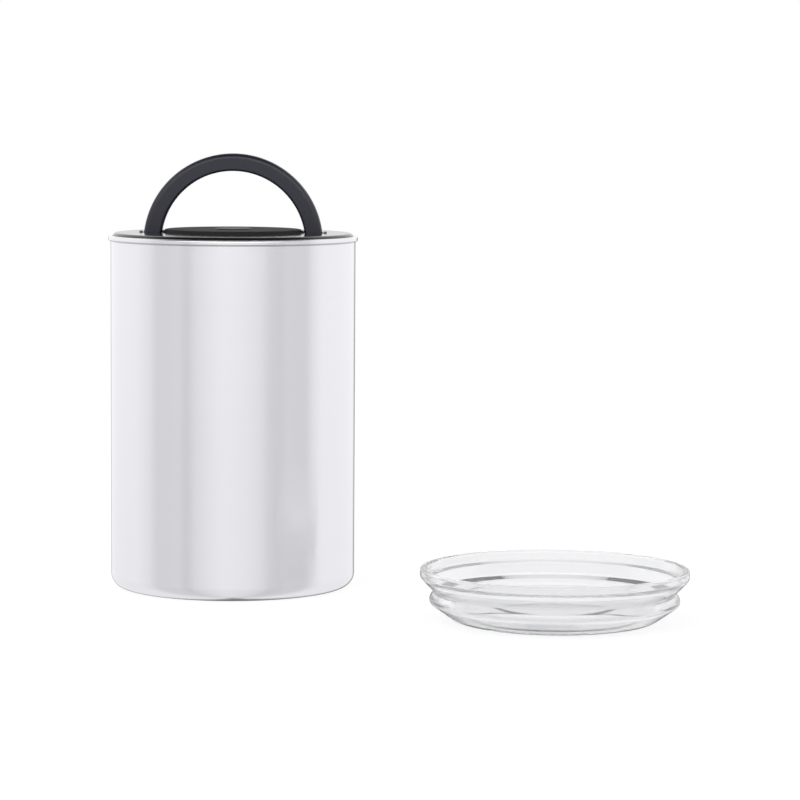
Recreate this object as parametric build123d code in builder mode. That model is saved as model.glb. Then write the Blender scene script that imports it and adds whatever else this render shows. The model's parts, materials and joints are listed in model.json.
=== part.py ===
from build123d import *
import math
import os

# Coffee canister: a steel can, an inner lid that slides down inside it and carries a folding
# handle, an air valve worked by that handle, and a clear outer lid lying beside the can.
# Millimetres, +Z up, front towards -Y. The origin is the middle of the can's underside.

# Can
rim_height = 180.0          # table to the top of the hemmed rim
can_radius = 62.4           # outside of the wall
can_wall = 0.6
hem_proud = 1.2             # hem outside the wall
rim_depth = 2.6             # height of the hem
rim_lower_fillet = 0.6
base_corner = 7.0           # outside radius between base and wall
bead_inset = 16.4           # stiffening bead pressed up into the base, in from the wall
bead_width = 5.0
bead_height = 0.9

# Inner lid, cover
lid_clearance = 0.35        # cover skirt to can wall
cover_wall = 2.0
ring_rise = 1.4             # flat ring above the can's rim
edge_run = 1.3              # width of the sloping edge outside the ring
plateau_land = 1.3          # plateau in from the channel
plateau_rise = 1.8          # plateau above the ring
plateau_draft = 0.3
plateau_edge = 0.5
skirt_depth = 17.0          # cover skirt below the can's rim
trough_wall = 1.8           # walls of the channel that the folded handle lies in
trough_floor = 1.8
channel_gap_in = 0.9        # channel wall to the inside of the handle
channel_gap_out = 0.6       # channel wall to the outside of the handle
floor_gap = 0.4             # lowest point of the cam to the channel floor
pocket_gap = 0.4            # furthest reach of the cam to the front of its pocket
scoop_radius = 11.0         # finger scoop behind the folded handle
scoop_inset = 4.0
lug_radius = 6.4            # cheeks and ears beside the handle's eyes
lug_lap = 0.5               # how far cheeks and ears start inside the channel before it is cut
ear_width = 1.3
cheek_width = 2.6
boss_radius = 3.4           # pin bosses behind the cheeks and ears
boss_length = 3.0

# Centre cap
cap_radius = 9.25
cap_gap = 0.1
cap_sink = 1.0              # depth of its recess
cap_proud = 0.5
cap_edge = 0.3
cap_stud_radius = 2.0
cap_stud_length = 3.5
cap_barb = 0.3
cap_barb_height = 0.8

# Handle
handle_inset = 14.35        # outside of the arch in from the edge of the flat ring
handle_width = 8.9          # radially
handle_depth = 9.0          # front to back
handle_outer_fillet = 2.6
handle_inner_fillet = 1.3
pivot_drop = 4.1            # pivot axis below the can's rim
hub_radius = 3.2            # thrust faces round the pins
side_play = 0.4
pin_radius = 1.6
pin_gap = 0.05
pin_edge = 0.3

# Cam on the left eye
valve_lift = 1.6
cam_radius = 4.2
cam_width = 5.2
cam_gap = 0.15
heel_gap = 0.9              # relief behind the cam, past the stem

# Inner lid, bottom plate
plate_depth = 20.0          # top of the plate below the can's rim
plate_thickness = 2.4
foot_depth = 5.4            # rim of the plate below its underside
flange_gap = 1.2            # flange below the gasket to the can wall
flange_height = 3.0
groove_depth = 2.9          # of the gasket's groove, from the flange
groove_wall = 2.2
spigot_gap = 0.15           # spigot to cover skirt
spigot_wall = 2.0
spigot_height = 4.0
rib_count = 8
rib_width = 1.2
rib_height = 2.2
hub_ring_radius = 11.0
hub_ring_width = 1.4

# Gasket
gasket_gap = 0.1            # in its groove
gasket_inset = 0.5          # body of the gasket behind the flange
lip_clearance = 0.3         # lips to can wall
lip_root = 1.8
lip_tip = 0.6
lip_rise = 0.9
lip_pitch = 3.5
lip_count = 2
lip_start = 0.9

# Valve
stem_radius = 1.75
stem_edge = 0.15
stem_gap = 0.05             # in its guide
stem_hole_gap = 0.35        # through the channel floor, where the air leaves
head_radius = 7.4
head_thickness = 1.5
head_edge = 0.4
washer_radius = 8.0
washer_thickness = 1.2
washer_gap = 0.05
seat_radius = 6.8
seat_width = 0.8
seat_height = 0.5
seat_gap = 0.1              # left when the valve is shut
port_circle_radius = 5.0
port_radius = 0.95
port_count = 6
guide_radius = 2.9
guide_flange_radius = 3.8
guide_flange = 1.0
guide_gap = 0.03
clip_radius = 3.7
clip_thickness = 0.6
clip_headroom = 0.4
clip_neck = 1.3             # radius of the stem in the clip's groove
clip_gap = 0.05
clip_mouth = 2.0
clip_relief = 0.55
spring_radius = 2.85        # middle of the wire
spring_wire = 0.5           # diameter
spring_turns = 4
spring_seat_gap = 0.05
spring_samples = 24         # points a turn at which the gap between coils is measured

# Screws
post_inset = 8.2            # screw axes in from the trough
screw_count = 4
screw_radius = 1.4
screw_gap = 0.05
screw_head_radius = 2.8
screw_length = 10.0
screw_slot = 0.7
screw_slot_depth = 0.7
screw_slot_length = 3.2
post_radius = 3.4
post_hole_spare = 1.5

# Clear lid
lid_right = 160.6           # middle of the lid from the can's axis
lid_front = 110.0
lid_height = 25.5
lid_wall = 2.1
flange_overhang = 1.2       # flange past the can's rim
flange_side = 4.4           # height of the flange's outer side
flange_edge = 1.4
flange_wall = 3.1
plug_gap = 0.4              # plug's shoulder, before it is rounded, to the can's mouth
plug_shoulder = 9.6         # height of the shoulder
plug_shoulder_fillet = 3.0
plug_foot_inset = 13.5      # flat underside in from the shoulder
plug_foot_fillet = 10.5
neck_inset = 3.1            # narrow neck under the flange, in from the shoulder
neck_rise = 4.6             # neck above the shoulder
lid_ledge_drop = 4.1        # ledge inside the flange, below the top
lid_ledge_width = 1.4
bowl_fillet = 4.0
lid_centre_inset = 5.9      # raised middle in from the edge of the flat underside
lid_centre_rise = 0.8
lid_centre_slope = 1.2

# Overrun of cuts past the faces that they open
overrun = 1.0

# Heights and radii that follow from the sizes above
mouth_radius = can_radius - can_wall
rim_radius = can_radius + hem_proud
bead_circle_radius = can_radius - bead_inset
skirt_radius = mouth_radius - lid_clearance
skirt_bore = skirt_radius - cover_wall
ring_radius = skirt_radius - edge_run
ring_top = rim_height + ring_rise
plateau_top = ring_top + plateau_rise
skirt_end = rim_height - skirt_depth

pivot_height = rim_height - pivot_drop
handle_outer = ring_radius - handle_inset
handle_bore = handle_outer - handle_width
leg_x = handle_bore + handle_width / 2
cam_shift = valve_lift / 2
cam_drop = cam_radius + cam_shift
cam_reach = cam_radius + math.hypot(cam_shift, cam_shift)
heel_height = stem_radius + heel_gap

channel_inner = handle_bore - channel_gap_in
channel_outer = handle_outer + channel_gap_out
plateau_radius = channel_inner - plateau_land
channel_floor = pivot_height - max(cam_drop, handle_depth / 2) - floor_gap
channel_front = max(cam_reach, handle_depth / 2) + pocket_gap
trough_under = channel_floor - trough_floor
pin_inner_end = channel_inner - trough_wall - boss_length
pin_outer_end = channel_outer + trough_wall + boss_length - pin_radius

plate_top = rim_height - plate_depth
plate_under = plate_top - plate_thickness
foot_under = plate_under - foot_depth
groove_low = foot_under + flange_height
flange_radius = mouth_radius - flange_gap
groove_radius = flange_radius - groove_depth
foot_bore = groove_radius - groove_wall
gasket_body = flange_radius - gasket_inset
screw_circle_radius = channel_inner - trough_wall - post_inset
spigot_radius = skirt_bore - spigot_gap
spigot_bore = spigot_radius - spigot_wall

stem_top = pivot_height - cam_drop - cam_gap
seat_face = plate_under - seat_height
washer_top = seat_face - seat_gap - valve_lift
head_top = washer_top - washer_thickness
head_under = head_top - head_thickness
guide_top = plate_top + guide_flange
clip_under = trough_under - clip_headroom - valve_lift - clip_thickness
spring_length = clip_under - guide_top

flange_outer = rim_radius + flange_overhang
flange_bore = flange_outer - flange_wall
flange_foot = lid_height - flange_side
plug_radius = mouth_radius - plug_gap
plug_foot = plug_radius - plug_foot_inset
neck_radius = plug_radius - neck_inset
neck_height = plug_shoulder + neck_rise
bowl_radius = neck_radius - lid_wall
lid_centre_radius = plug_foot - lid_centre_inset


def can_floor(height):
    """Pressed base and lower corner of the can, drawn at a height above the table."""
    bead_in = bead_circle_radius - bead_width / 2
    bead_out = bead_circle_radius + bead_width / 2
    corner = base_corner - height
    centre = (can_radius - base_corner, base_corner)
    middle = (centre[0] + corner * math.sin(math.pi / 4), centre[1] - corner * math.cos(math.pi / 4))
    Line((0, height), (bead_in, height))
    ThreePointArc((bead_in, height), (bead_circle_radius, height + bead_height), (bead_out, height))
    Line((bead_out, height), (centre[0], height))
    ThreePointArc((centre[0], height), middle, (centre[0] + corner, centre[1]))


def make_can():
    """Drawn can, thin all over, with its edge folded out and down into a hem."""
    hem = rim_radius - mouth_radius
    hem_foot = rim_height - rim_depth
    hem_turn = rim_height - hem / 2
    with BuildPart() as can:
        with BuildSketch(Plane.XZ):
            with BuildLine():
                can_floor(0)
                Line((can_radius, base_corner), (can_radius, hem_foot))
                Line((can_radius, hem_foot), (rim_radius - rim_lower_fillet, hem_foot))
                RadiusArc(
                    (rim_radius - rim_lower_fillet, hem_foot),
                    (rim_radius, hem_foot + rim_lower_fillet),
                    -rim_lower_fillet,
                )
                Line((rim_radius, hem_foot + rim_lower_fillet), (rim_radius, hem_turn))
                ThreePointArc(
                    (rim_radius, hem_turn), (rim_radius - hem / 2, rim_height), (mouth_radius, hem_turn)
                )
                Line((mouth_radius, hem_turn), (mouth_radius, base_corner))
                can_floor(can_wall)
                Line((0, can_wall), (0, 0))
            make_face()
        revolve(axis=Axis.Z)
    return can.part


def channel_plan(height, grow):
    """Plan of the handle's channel, its two front pockets and the finger scoop, grown all round."""
    reach = channel_outer + grow
    front = channel_front + grow
    with BuildSketch(Plane.XY.offset(height)) as plan:
        Circle(reach)
        with Locations((0, -front)):
            Rectangle(
                2 * (reach + overrun),
                reach + front + overrun,
                align=(Align.CENTER, Align.MIN),
                mode=Mode.INTERSECT,
            )
        with Locations((0, channel_outer - scoop_inset)):
            Circle(scoop_radius + grow)
        Circle(channel_inner - grow, mode=Mode.SUBTRACT)
    return plan.sketch


def along_x(start, height, radius, length, mode=Mode.ADD):
    """Round bar along X from start, on the front-to-back middle plane."""
    with BuildSketch(Plane.YZ.offset(start)) as disc:
        with Locations((0, height)):
            Circle(radius)
    extrude(disc.sketch, amount=length, mode=mode)


def make_cover():
    """Moulded cover: revolved shell, trough for the folded handle, pivots, posts and cap recess."""
    with BuildPart() as cover:
        with BuildSketch(Plane.XZ) as section:
            with BuildLine():
                Polyline(
                    (0, plateau_top),
                    (plateau_radius, plateau_top),
                    (plateau_radius + plateau_draft, ring_top),
                    (ring_radius, ring_top),
                    (skirt_radius, rim_height),
                    (skirt_radius, skirt_end),
                    (skirt_bore, skirt_end),
                    (skirt_bore, ring_top - cover_wall),
                    (plateau_radius - cover_wall, ring_top - cover_wall),
                    (plateau_radius - cover_wall, plateau_top - cover_wall),
                    (0, plateau_top - cover_wall),
                    close=True,
                )
            make_face()
            rim_corner = section.vertices().sort_by_distance(Vector(plateau_radius, plateau_top))[0]
            fillet(rim_corner, plateau_edge)
        revolve(axis=Axis.Z)

        trough_height = ring_top - cover_wall / 2 - trough_under
        extrude(channel_plan(trough_under, trough_wall), amount=trough_height)
        lug_start = math.sqrt(channel_outer**2 - lug_radius**2) - lug_lap
        cheek_start = channel_inner + lug_lap
        boss_root = trough_wall / 2
        for side in (-1, 1):
            ear_length = channel_outer + ear_width - lug_start
            along_x(side * lug_start, pivot_height, lug_radius, side * ear_length)
            along_x(side * cheek_start, pivot_height, lug_radius, -side * (cheek_width + lug_lap))
            along_x(
                side * (channel_outer + boss_root),
                pivot_height,
                boss_radius,
                side * (trough_wall - boss_root + boss_length),
            )
            along_x(
                side * (channel_inner - boss_root),
                pivot_height,
                boss_radius,
                -side * (trough_wall - boss_root + boss_length),
            )
        extrude(
            channel_plan(channel_floor, 0),
            amount=plateau_top - channel_floor + overrun,
            mode=Mode.SUBTRACT,
        )
        with BuildSketch(Plane.XY.offset(ring_top)):
            Circle(channel_outer)
            Circle(channel_inner, mode=Mode.SUBTRACT)
        extrude(amount=plateau_rise + overrun, mode=Mode.SUBTRACT)
        for side in (-1, 1):
            along_x(
                side * (pin_inner_end - overrun),
                pivot_height,
                pin_radius + pin_gap,
                side * (pin_outer_end - pin_inner_end + overrun),
                Mode.SUBTRACT,
            )

        with BuildSketch(Plane.XY.offset(plate_top)):
            with PolarLocations(screw_circle_radius, screw_count, start_angle=360 / screw_count / 2):
                Circle(post_radius)
        extrude(amount=plateau_top - cover_wall / 2 - plate_top)
        with BuildSketch(Plane.XY.offset(plate_top)):
            with PolarLocations(screw_circle_radius, screw_count, start_angle=360 / screw_count / 2):
                Circle(screw_radius + screw_gap)
        extrude(amount=screw_length - plate_thickness + post_hole_spare, mode=Mode.SUBTRACT)

        with BuildSketch(Plane.XY.offset(trough_under - overrun)):
            with Locations((-leg_x, 0)):
                Circle(stem_radius + stem_hole_gap)
        extrude(amount=trough_floor + 2 * overrun, mode=Mode.SUBTRACT)

        with BuildSketch(Plane.XY.offset(plateau_top)):
            Circle(cap_radius + cap_gap)
        extrude(amount=-cap_sink, mode=Mode.SUBTRACT)
        with BuildSketch(Plane.XY.offset(plateau_top)):
            Circle(cap_stud_radius + cap_gap)
        extrude(amount=-cover_wall - overrun, mode=Mode.SUBTRACT)
    return cover.part


def make_centre_cap():
    """Round cap with a barbed stud that snaps through the middle of the plateau."""
    seat = plateau_top - cap_sink
    stud_end = seat - cap_stud_length
    barb_top = plateau_top - cover_wall - cap_gap
    with BuildPart() as cap:
        with BuildSketch(Plane.XZ) as section:
            with BuildLine():
                Polyline(
                    (0, plateau_top + cap_proud),
                    (cap_radius, plateau_top + cap_proud),
                    (cap_radius, seat),
                    (cap_stud_radius, seat),
                    (cap_stud_radius, barb_top),
                    (cap_stud_radius + cap_barb, barb_top - cap_barb),
                    (cap_stud_radius, barb_top - cap_barb_height),
                    (cap_stud_radius, stud_end),
                    (0, stud_end),
                    close=True,
                )
            make_face()
            rim = section.vertices().sort_by_distance(Vector(cap_radius, plateau_top + cap_proud))[0]
            fillet(rim, cap_edge)
        revolve(axis=Axis.Z)
    return cap.part


def make_handle():
    """Half-ring handle with round eyes; the left eye carries the cam that works the valve."""
    eye_radius = handle_depth / 2
    cam_spot = (-cam_shift, pivot_height - cam_shift)
    heel_back = cam_radius - cam_shift
    past_eye = eye_radius + overrun
    with BuildPart() as arch:
        with BuildSketch(Plane.XY.offset(pivot_height)) as section:
            with Locations((leg_x, 0)):
                Rectangle(handle_width, handle_depth)
            fillet(section.vertices().group_by(Axis.X)[-1], handle_outer_fillet)
            fillet(section.vertices().group_by(Axis.X)[0], handle_inner_fillet)
        revolve(axis=Axis((0, 0, pivot_height), (0, 1, 0)), revolution_arc=-180)

        for side in (-1, 1):
            along_x(side * handle_bore, pivot_height, eye_radius, side * handle_width)
            along_x(side * handle_bore, pivot_height, hub_radius, -side * (channel_gap_in - side_play))
            along_x(side * handle_outer, pivot_height, hub_radius, side * (channel_gap_out - side_play))

        with BuildSketch(Plane.YZ.offset(-leg_x - cam_width / 2)):
            with BuildLine():
                Polyline(
                    (0, pivot_height - past_eye),
                    (past_eye, pivot_height - past_eye),
                    (past_eye, pivot_height + heel_height + past_eye - heel_back),
                    (heel_back, pivot_height + heel_height),
                    (0, pivot_height + heel_height),
                    close=True,
                )
            make_face()
            with Locations(cam_spot):
                Circle(cam_radius, mode=Mode.SUBTRACT)
            with Locations((heel_back / 2, pivot_height + heel_height / 2)):
                Rectangle(heel_back, heel_height, mode=Mode.SUBTRACT)
        extrude(amount=cam_width, mode=Mode.SUBTRACT)
        with BuildSketch(Plane.YZ.offset(-leg_x - cam_width / 2)):
            with Locations(cam_spot):
                Circle(cam_radius)
        extrude(amount=cam_width)

        for side in (-1, 1):
            along_x(
                side * channel_inner,
                pivot_height,
                pin_radius + pin_gap,
                side * (channel_outer - channel_inner),
                Mode.SUBTRACT,
            )
    return arch.part


def make_pin(side):
    """Steel pivot pin: pushed out through cheek and eye into a blind boss."""
    length = pin_outer_end - pin_inner_end - pin_gap
    with BuildPart() as pin:
        along_x(side * pin_inner_end, pivot_height, pin_radius, side * length)
        chamfer(pin.edges().filter_by(GeomType.CIRCLE), pin_edge)
    return pin.part


def make_base():
    """Bottom plate: dished disc with gasket groove, locating spigot, ribs and valve seat."""
    with BuildPart() as base:
        with BuildSketch(Plane.XZ):
            with BuildLine():
                Polyline(
                    (0, plate_under),
                    (foot_bore, plate_under),
                    (foot_bore, foot_under),
                    (flange_radius, foot_under),
                    (flange_radius, groove_low),
                    (groove_radius, groove_low),
                    (groove_radius, skirt_end),
                    (spigot_radius, skirt_end),
                    (spigot_radius, skirt_end + spigot_height),
                    (spigot_bore, skirt_end + spigot_height),
                    (spigot_bore, skirt_end + spigot_wall),
                    (foot_bore, skirt_end),
                    (foot_bore, plate_top),
                    (0, plate_top),
                    close=True,
                )
            make_face()
        revolve(axis=Axis.Z)

        with BuildSketch(Plane.XY.offset(plate_under - rib_height)):
            Circle(hub_ring_radius)
            Circle(hub_ring_radius - hub_ring_width, mode=Mode.SUBTRACT)
            rib_length = foot_bore + rib_width - hub_ring_radius + hub_ring_width / 2
            rib_middle = foot_bore + rib_width - rib_length / 2
            with PolarLocations(rib_middle, rib_count, start_angle=360 / rib_count / 2):
                Rectangle(rib_length, rib_width)
        extrude(amount=rib_height + plate_thickness / 2)
        with BuildSketch(Plane.XY.offset(seat_face)):
            with Locations((-leg_x, 0)):
                Circle(seat_radius + seat_width / 2)
                Circle(seat_radius - seat_width / 2, mode=Mode.SUBTRACT)
        extrude(amount=seat_height + plate_thickness / 2)

        with BuildSketch(Plane.XY.offset(plate_under - overrun)):
            with Locations((-leg_x, 0)):
                Circle(guide_radius + guide_gap)
                with PolarLocations(port_circle_radius, port_count):
                    Circle(port_radius)
        extrude(amount=plate_thickness + 2 * overrun, mode=Mode.SUBTRACT)

        with Locations(Plane.XY.offset(plate_under).rotated((180, 0, 0))):
            with PolarLocations(screw_circle_radius, screw_count, start_angle=360 / screw_count / 2):
                CounterSinkHole(
                    screw_radius + screw_gap, screw_head_radius + screw_gap, counter_sink_angle=90
                )
    return base.part


def make_gasket():
    """Soft ring in the groove between cover and bottom plate, with two wiping lips."""
    low = groove_low + gasket_gap
    bore = groove_radius + gasket_gap
    reach = mouth_radius - lip_clearance
    outline = [(bore, low), (gasket_body, low)]
    for lip in range(lip_count):
        root = low + lip_start + lip * lip_pitch
        outline.append((gasket_body, root))
        outline.append((reach, root + lip_rise))
        outline.append((reach, root + lip_rise + lip_tip))
        outline.append((gasket_body, root + lip_root))
    outline.append((gasket_body, skirt_end - gasket_gap))
    outline.append((bore, skirt_end - gasket_gap))
    with BuildPart() as gasket:
        with BuildSketch(Plane.XZ):
            with BuildLine():
                Polyline(*outline, close=True)
            make_face()
        revolve(axis=Axis.Z)
    return gasket.part


def turned(points):
    """Piece turned on the valve's axis from an outline of radii and heights."""
    with BuildPart() as piece:
        with BuildSketch(Plane.XZ):
            with BuildLine():
                Polyline(*[(-leg_x + radius, height) for radius, height in points], close=True)
            make_face()
        revolve(axis=Axis((-leg_x, 0, 0), (0, 0, 1)))
    return piece.part


def make_guide():
    """Flanged bush in the bottom plate that keeps the stem upright."""
    bore = stem_radius + stem_gap
    return turned([
        (bore, plate_under),
        (guide_radius, plate_under),
        (guide_radius, plate_top),
        (guide_flange_radius, plate_top),
        (guide_flange_radius, guide_top),
        (bore, guide_top),
    ])


def make_stem():
    """Valve stem with its head below and a groove for the clip above."""
    neck_low = clip_under - clip_gap
    neck_high = clip_under + clip_thickness + clip_gap
    return turned([
        (0, head_under),
        (head_radius - head_edge, head_under),
        (head_radius, head_under + head_edge),
        (head_radius, head_top),
        (stem_radius, head_top),
        (stem_radius, neck_low),
        (clip_neck, neck_low),
        (clip_neck, neck_high),
        (stem_radius, neck_high),
        (stem_radius, stem_top - stem_edge),
        (stem_radius - stem_edge, stem_top),
        (0, stem_top),
    ])


def make_washer():
    """Soft washer that the head presses up against the seat."""
    return turned([
        (stem_radius + washer_gap, head_top),
        (washer_radius, head_top),
        (washer_radius, washer_top),
        (stem_radius + washer_gap, washer_top),
    ])


def make_clip():
    """Open retaining clip that grips the stem's groove at three places."""
    bore = clip_neck + clip_gap
    with BuildPart() as clip:
        with BuildSketch(Plane.XY.offset(clip_under)):
            with Locations((-leg_x, 0)):
                Circle(clip_radius)
                Circle(bore, mode=Mode.SUBTRACT)
                with PolarLocations(bore, 2, start_angle=60, angular_range=120, endpoint=True):
                    Circle(clip_relief, mode=Mode.SUBTRACT)
            with Locations((-leg_x, -clip_radius / 2)):
                Rectangle(clip_mouth, clip_radius, mode=Mode.SUBTRACT)
        extrude(amount=clip_thickness)
    return clip.part


def biarc(start, start_way, end, end_way):
    """Two tangent arcs from start to end that leave and arrive along the given directions."""
    gap = end - start
    ways = start_way + end_way
    a = ways.dot(ways) - 4
    b = gap.dot(ways)
    reach = (b - math.sqrt(b * b - a * gap.dot(gap))) / a
    joint = (start + start_way * reach + end - end_way * reach) / 2
    joint_way = (end - end_way * reach - start - start_way * reach).normalized()
    TangentArc(start, joint, tangent=start_way)
    TangentArc(joint, end, tangent=joint_way)


def helix_point(share):
    """Middle of the spring's wire at a share of its turns, and its direction there."""
    angle = 2 * math.pi * spring_turns * share
    low = guide_top + spring_seat_gap + spring_wire / 2
    climb = spring_length - 2 * spring_seat_gap - spring_wire
    point = Vector(
        -leg_x + spring_radius * math.cos(angle), spring_radius * math.sin(angle), low + climb * share
    )
    sweep_speed = 2 * math.pi * spring_turns * spring_radius
    way = Vector(-sweep_speed * math.sin(angle), sweep_speed * math.cos(angle), climb).normalized()
    return point, way


def make_spring():
    """Closing spring: one unbroken wire, each half turn two tangent arcs."""
    steps = 2 * spring_turns
    foot, foot_way = helix_point(0)
    with BuildPart() as spring:
        with BuildLine():
            for step in range(steps):
                start, start_way = helix_point(step / steps)
                end, end_way = helix_point((step + 1) / steps)
                biarc(start, start_way, end, end_way)
        with BuildSketch(Plane(origin=foot, z_dir=foot_way)):
            Circle(spring_wire / 2)
        sweep()
    count = spring_turns * spring_samples
    points = [helix_point(index / count)[0] for index in range(count + 1)]
    nearest = min(
        (points[second] - points[first]).length
        for first in range(count)
        for second in range(first + spring_samples // 2, count + 1)
    )
    print(f"valve spring: {spring_turns} turns, least gap to itself {nearest - spring_wire:.2f} mm")
    return spring.part


def make_screws():
    """Four countersunk screws, driven up from below, as one group."""
    with BuildPart() as screws:
        with PolarLocations(screw_circle_radius, screw_count, start_angle=360 / screw_count / 2):
            with Locations((0, 0, plate_under)):
                Cylinder(screw_radius, screw_length, align=(Align.CENTER, Align.CENTER, Align.MIN))
                Cone(
                    screw_head_radius,
                    screw_radius,
                    screw_head_radius - screw_radius,
                    align=(Align.CENTER, Align.CENTER, Align.MIN),
                )
                for turn in (0, 90):
                    Box(
                        screw_slot_length,
                        screw_slot,
                        screw_slot_depth,
                        rotation=(0, 0, turn),
                        align=(Align.CENTER, Align.CENTER, Align.MIN),
                        mode=Mode.SUBTRACT,
                    )
    return screws.part


def make_clear_lid():
    """Clear plug lid: dished plug with a narrow neck, and a flange that slopes out over the rim."""
    flange_slope = math.atan2(flange_foot - neck_height, flange_outer - neck_radius)
    plug_slope = math.atan2(plug_shoulder, plug_foot_inset)
    bowl_foot = plug_foot - lid_wall * math.tan(plug_slope / 2)
    bowl_shoulder = lid_wall + (bowl_radius - bowl_foot) * math.tan(plug_slope)
    bowl_neck = neck_height + lid_wall * (1 - math.sin(flange_slope)) / math.cos(flange_slope)
    ledge = lid_height - lid_ledge_drop
    ledge_radius = flange_bore - lid_ledge_width
    ledge_foot = bowl_neck + (ledge_radius - bowl_radius) * math.tan(flange_slope)
    outline = [
        (0, lid_wall + lid_centre_rise),
        (0, lid_centre_rise),
        (lid_centre_radius - lid_centre_slope, lid_centre_rise),
        (lid_centre_radius, 0),
        (plug_foot, 0),
        (plug_radius, plug_shoulder),
        (neck_radius, neck_height),
        (flange_outer, flange_foot),
        (flange_outer, lid_height),
        (flange_bore, lid_height),
        (flange_bore, ledge),
        (ledge_radius, ledge),
        (ledge_radius, ledge_foot),
        (bowl_radius, bowl_neck),
        (bowl_radius, bowl_shoulder),
        (bowl_foot, lid_wall),
        (lid_centre_radius, lid_wall),
        (lid_centre_radius - lid_centre_slope, lid_wall + lid_centre_rise),
    ]
    rounded = {
        (plug_foot, 0): plug_foot_fillet,
        (plug_radius, plug_shoulder): plug_shoulder_fillet,
        (flange_outer, lid_height): flange_edge,
        (flange_bore, lid_height): flange_edge,
        (bowl_radius, bowl_shoulder): bowl_fillet,
        (bowl_foot, lid_wall): plug_foot_fillet - lid_wall,
    }
    with BuildPart() as lid:
        with BuildSketch(Plane.XZ.offset(lid_front)) as section:
            with BuildLine():
                Polyline(*[(lid_right + radius, height) for radius, height in outline], close=True)
            make_face()
            for (radius, height), round_radius in rounded.items():
                spot = Vector(lid_right + radius, height)
                fillet(section.vertices().sort_by_distance(spot)[0], round_radius)
        revolve(axis=Axis((lid_right, -lid_front, 0), (0, 0, 1)))
    return lid.part


pieces = {
    "canister_body": make_can(),
    "lid_cover": make_cover(),
    "centre_cap": make_centre_cap(),
    "handle": make_handle(),
    "pivot_pin_left": make_pin(-1),
    "pivot_pin_right": make_pin(1),
    "lid_base": make_base(),
    "wiper_gasket": make_gasket(),
    "valve_guide": make_guide(),
    "valve_stem": make_stem(),
    "valve_washer": make_washer(),
    "spring_clip": make_clip(),
    "valve_spring": make_spring(),
    "base_screws": make_screws(),
    "clear_lid": make_clear_lid(),
}

os.makedirs("parts", exist_ok=True)
for name, piece in pieces.items():
    piece.label = name
    export_step(piece, f"parts/{name}.step")
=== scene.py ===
"""Looks of a coffee canister with a valve lid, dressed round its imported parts.

The can stands on the table with its middle at the origin and its front towards -Y. Its black inner
lid sits in the mouth with the handle up, and the clear outer lid lies to the front right. A piece
is modelled in millimetres and scaled to metres when it is settled.
"""
import sys
import json
import logging
import math
from collections.abc import Mapping, Sequence
from dataclasses import dataclass
from enum import Enum, IntEnum
from typing import Any

import bmesh
import bpy
from mathutils import Matrix, Vector


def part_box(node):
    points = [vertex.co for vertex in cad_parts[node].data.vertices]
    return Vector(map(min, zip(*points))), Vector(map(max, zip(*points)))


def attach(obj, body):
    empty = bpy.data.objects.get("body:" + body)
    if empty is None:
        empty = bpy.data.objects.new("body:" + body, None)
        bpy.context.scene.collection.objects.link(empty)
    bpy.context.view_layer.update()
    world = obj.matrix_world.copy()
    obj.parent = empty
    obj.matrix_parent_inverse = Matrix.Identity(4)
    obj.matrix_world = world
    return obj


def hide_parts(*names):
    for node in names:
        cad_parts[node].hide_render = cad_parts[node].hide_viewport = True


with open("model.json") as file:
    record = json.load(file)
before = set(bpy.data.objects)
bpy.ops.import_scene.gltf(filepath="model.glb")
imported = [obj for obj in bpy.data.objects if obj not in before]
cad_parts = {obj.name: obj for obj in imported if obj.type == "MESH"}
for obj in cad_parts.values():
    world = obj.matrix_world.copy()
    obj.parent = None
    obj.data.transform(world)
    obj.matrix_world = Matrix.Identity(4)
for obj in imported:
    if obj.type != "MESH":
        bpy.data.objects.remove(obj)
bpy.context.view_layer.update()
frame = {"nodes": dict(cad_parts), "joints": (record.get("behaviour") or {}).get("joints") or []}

log = logging.getLogger("canister")

MM = 0.001                  # metres in a millimetre
FULL_TURN = 2 * math.pi
FULL_DEGREES = 360
STEPS = 192                 # round steps of a large turned piece
FINE_STEPS = 48             # round steps of a small bar
WELD = 1e-4                 # millimetres within which points are one
SPIN_WELD = 2e-3            # millimetres within which the ends of a long spin are one
SHARP_ANGLE = math.radians(35)
OVERRUN = 1.0               # how far a cutter passes the face that it opens
ROOT = 0.05                 # how far an added lump is sunk into what carries it
WHITE = (1.0, 1.0, 1.0, 1.0)

Colour = tuple[float, float, float, float]
Spot = tuple[float, float, float]
Span = tuple[float, float]

# Azimuth in degrees and level of the bands that the metal mirrors: those round the front, then
# all below the horizon with a darker back, and all above it with a bright one.
FRONT_BANDS = (
    (-100, 1.04), (-82, 0.94), (-74, 0.81), (-48, 0.83), (-44, 0.73), (-39, 0.74),
    (-33, 0.86), (-8, 1.00), (14, 0.96), (30, 0.88), (37, 0.76), (50, 0.74),
    (53, 0.81), (76, 0.79), (82, 0.92), (94, 1.05),
)
LOW_BANDS = (
    (-180, 0.22), (-170, 0.22), (-161, 1.04), *FRONT_BANDS, (161, 1.06), (170, 0.22), (180, 0.22),
)
HIGH_BANDS = ((-180, 1.05), *FRONT_BANDS, (180, 1.05))


class Body(Enum):
    """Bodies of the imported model."""

    CANISTER = "canister"
    INNER_LID = "inner_lid"
    HANDLE = "handle"
    VALVE = "valve"
    CLEAR_LID = "clear_lid"


class Slot(Enum):
    """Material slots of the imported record."""

    STEEL = "steel"
    MOULDING = "black_moulding"
    HANDLE = "handle"
    GASKET = "gasket"
    WASHER = "washer"
    GUIDE = "guide"
    HARDWARE = "hardware"
    CLEAR = "clear"


class Blend(Enum):
    """Ways in which one solid changes another."""

    JOIN = "UNION"
    CUT = "DIFFERENCE"


class Side(IntEnum):
    """Sides of the handle, as the sign of X."""

    LEFT = -1
    RIGHT = 1


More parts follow.
